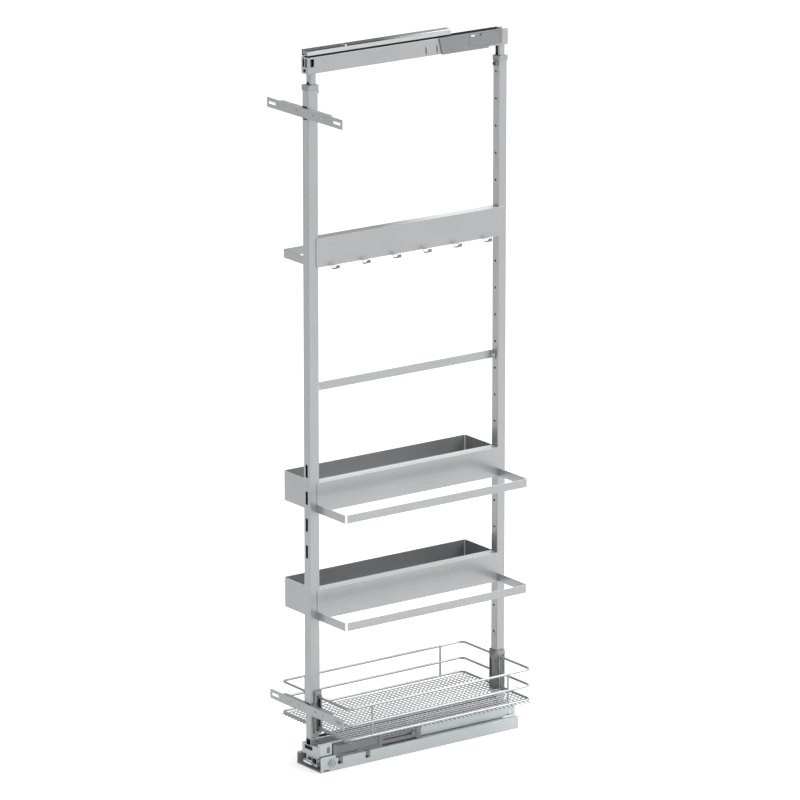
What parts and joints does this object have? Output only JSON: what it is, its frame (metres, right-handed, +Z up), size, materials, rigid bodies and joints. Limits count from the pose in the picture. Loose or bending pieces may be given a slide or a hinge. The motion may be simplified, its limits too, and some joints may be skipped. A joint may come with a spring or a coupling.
{
  "type": "pull-out pantry frame",
  "caption": "Tall pull-out frame for a narrow pantry or broom cabinet: floor runner, telescopic head, trays with bottle rails, hook strip, towel bar and wire basket.",
  "frame": {"origin": "centre of the floor screw pattern on the underside of the floor rail", "axes": "-Y pulls out of the cabinet towards the door, +Y to the cabinet's back, +Z up, +X to the right seen from the back"},
  "size_m": [0.258, 0.5063, 1.491],
  "materials": {
    "galvanised": "zinc plated sheet, satin",
    "silver_coat": "silver-grey powder coat, satin",
    "hanger_steel": "darker grey coat, satin",
    "grey_plastic": "fine moulded texture",
    "light_plastic": "moulded",
    "roller_plastic": "machined acetal",
    "bright_steel": "zinc plated",
    "chrome_rail": "bright plated"
  },
  "bodies": {
    "cabinet_floor": {"floor_rail": "galvanised", "damper_housing": "grey_plastic", "damper_track": "grey_plastic", "adjuster_rivet": "galvanised"},
    "damper_catch": {"damper_catch": "grey_plastic"},
    "adjuster": {"adjuster_disc": "light_plastic"},
    "middle_rail": {"mid_rail": "galvanised", "lower_axle_front": "bright_steel", "lower_axle_rear": "bright_steel", "upper_axle_front": "bright_steel", "upper_axle_rear": "bright_steel"},
    "lower_rollers_front": {"lower_rollers_front": "roller_plastic"},
    "lower_rollers_rear": {"lower_rollers_rear": "roller_plastic"},
    "upper_rollers_front": {"upper_rollers_front": "roller_plastic"},
    "upper_rollers_rear": {"upper_rollers_rear": "roller_plastic"},
    "frame": {"carriage": "galvanised", "front_block": "galvanised", "bottom_tube": "silver_coat", "foot_post": "silver_coat", "front_post": "silver_coat", "back_post": "silver_coat", "front_collar": "grey_plastic", "back_collar": "grey_plastic", "clamp_screws": "bright_steel", "lower_door_bracket": "silver_coat", "upper_door_bracket": "silver_coat", "lower_bracket_clamp": "silver_coat", "upper_bracket_clamp": "silver_coat", "bracket_rivets": "bright_steel", "lower_tray": "silver_coat", "upper_tray": "silver_coat", "lower_bottle_rail": "silver_coat", "upper_bottle_rail": "silver_coat", "hook_strip": "silver_coat", "hook_strip_rail": "silver_coat", "coat_hooks": "silver_coat", "towel_bar": "silver_coat", "fixing_screws": "bright_steel", "front_hanger": "hanger_steel", "back_hanger": "hanger_steel", "basket_side_left": "silver_coat", "basket_side_right": "silver_coat", "basket_floor": "silver_coat"},
    "head": {"front_inner_tube": "silver_coat", "back_inner_tube": "silver_coat", "top_beam": "silver_coat", "beam_front_cap": "chrome_rail", "beam_end_bracket": "silver_coat", "top_damper_cover": "grey_plastic"},
    "top_catch": {"top_catch": "light_plastic"},
    "top_slide": {"top_mid_rail": "chrome_rail", "guide_pins": "bright_steel"},
    "guide_roller_lower_front": {"guide_roller_lower_front": "roller_plastic"},
    "guide_roller_lower_rear": {"guide_roller_lower_rear": "roller_plastic"},
    "guide_roller_upper_front": {"guide_roller_upper_front": "roller_plastic"},
    "guide_roller_upper_rear": {"guide_roller_upper_rear": "roller_plastic"},
    "cabinet_rail": {"cabinet_rail": "chrome_rail"}
  },
  "joints": [
    {"name": "pull_out", "type": "slide", "parent": "cabinet_floor", "child": "frame", "axis": [0, -1, 0], "range_m": [0, 0.45]},
    {"name": "middle_rail_slide", "type": "slide", "parent": "cabinet_floor", "child": "middle_rail", "axis": [0, -1, 0], "range_m": [0, 0.226]},
    {"name": "soft_close_travel", "type": "slide", "parent": "cabinet_floor", "child": "damper_catch", "axis": [0, -1, 0], "range_m": [0, 0.06]},
    {"name": "adjuster_turn", "type": "hinge", "parent": "cabinet_floor", "child": "adjuster", "pos_m": [0.042, -0.2225, 0.01675], "axis": [1, 0, 0], "range_deg": [-90, 90]},
    {"name": "height_adjust", "type": "slide", "parent": "frame", "child": "head", "axis": [0, 0, 1], "range_m": [-0.02, 0.1]},
    {"name": "top_catch_travel", "type": "slide", "parent": "head", "child": "top_catch", "axis": [0, 1, 0], "range_m": [0, 0.015]},
    {"name": "top_slide_travel", "type": "slide", "parent": "head", "child": "top_slide", "axis": [0, 1, 0], "range_m": [0, 0.226]},
    {"name": "cabinet_rail_travel", "type": "slide", "parent": "head", "child": "cabinet_rail", "axis": [0, 1, 0], "range_m": [0, 0.451]},
    {"name": "lower_rollers_front_spin", "type": "hinge", "parent": "middle_rail", "child": "lower_rollers_front", "pos_m": [0, -0.002, 0.01275], "axis": [1, 0, 0], "range_deg": [0, 1179.31]},
    {"name": "lower_rollers_rear_spin", "type": "hinge", "parent": "middle_rail", "child": "lower_rollers_rear", "pos_m": [0, 0.207, 0.01275], "axis": [1, 0, 0], "range_deg": [0, 1179.31]},
    {"name": "upper_rollers_front_spin", "type": "hinge", "parent": "middle_rail", "child": "upper_rollers_front", "pos_m": [0, -0.223, 0.03735], "axis": [1, 0, 0], "range_deg": [0, 1366.18]},
    {"name": "upper_rollers_rear_spin", "type": "hinge", "parent": "middle_rail", "child": "upper_rollers_rear", "pos_m": [0, -0.012, 0.03735], "axis": [1, 0, 0], "range_deg": [0, 1366.18]},
    {"name": "guide_roller_lower_front_spin", "type": "hinge", "parent": "top_slide", "child": "guide_roller_lower_front", "pos_m": [0, -0.232, 1.4525], "axis": [0, 0, 1], "range_deg": [-1403.26, 0]},
    {"name": "guide_roller_lower_rear_spin", "type": "hinge", "parent": "top_slide", "child": "guide_roller_lower_rear", "pos_m": [0, -0.042, 1.4525], "axis": [0, 0, 1], "range_deg": [-1403.26, 0]},
    {"name": "guide_roller_upper_front_spin", "type": "hinge", "parent": "top_slide", "child": "guide_roller_upper_front", "pos_m": [0, -0.023, 1.4861], "axis": [0, 0, 1], "range_deg": [0, 1518.65]},
    {"name": "guide_roller_upper_rear_spin", "type": "hinge", "parent": "top_slide", "child": "guide_roller_upper_rear", "pos_m": [0, 0.076, 1.4861], "axis": [0, 0, 1], "range_deg": [0, 1518.65]}
  ],
  "couplings": [
    {"joint": "middle_rail_slide", "follows": "pull_out", "ratio": 0.5},
    {"joint": "top_slide_travel", "follows": "pull_out", "ratio": 0.5},
    {"joint": "cabinet_rail_travel", "follows": "pull_out", "ratio": 1},
    {"joint": "lower_rollers_front_spin", "follows": "pull_out", "rad_per_m": 45.662},
    {"joint": "lower_rollers_rear_spin", "follows": "pull_out", "rad_per_m": 45.662},
    {"joint": "upper_rollers_front_spin", "follows": "pull_out", "rad_per_m": 52.91},
    {"joint": "upper_rollers_rear_spin", "follows": "pull_out", "rad_per_m": 52.91},
    {"joint": "guide_roller_lower_front_spin", "follows": "pull_out", "rad_per_m": -54.348},
    {"joint": "guide_roller_lower_rear_spin", "follows": "pull_out", "rad_per_m": -54.348},
    {"joint": "guide_roller_upper_front_spin", "follows": "pull_out", "rad_per_m": 58.824},
    {"joint": "guide_roller_upper_rear_spin", "follows": "pull_out", "rad_per_m": 58.824}
  ]
}
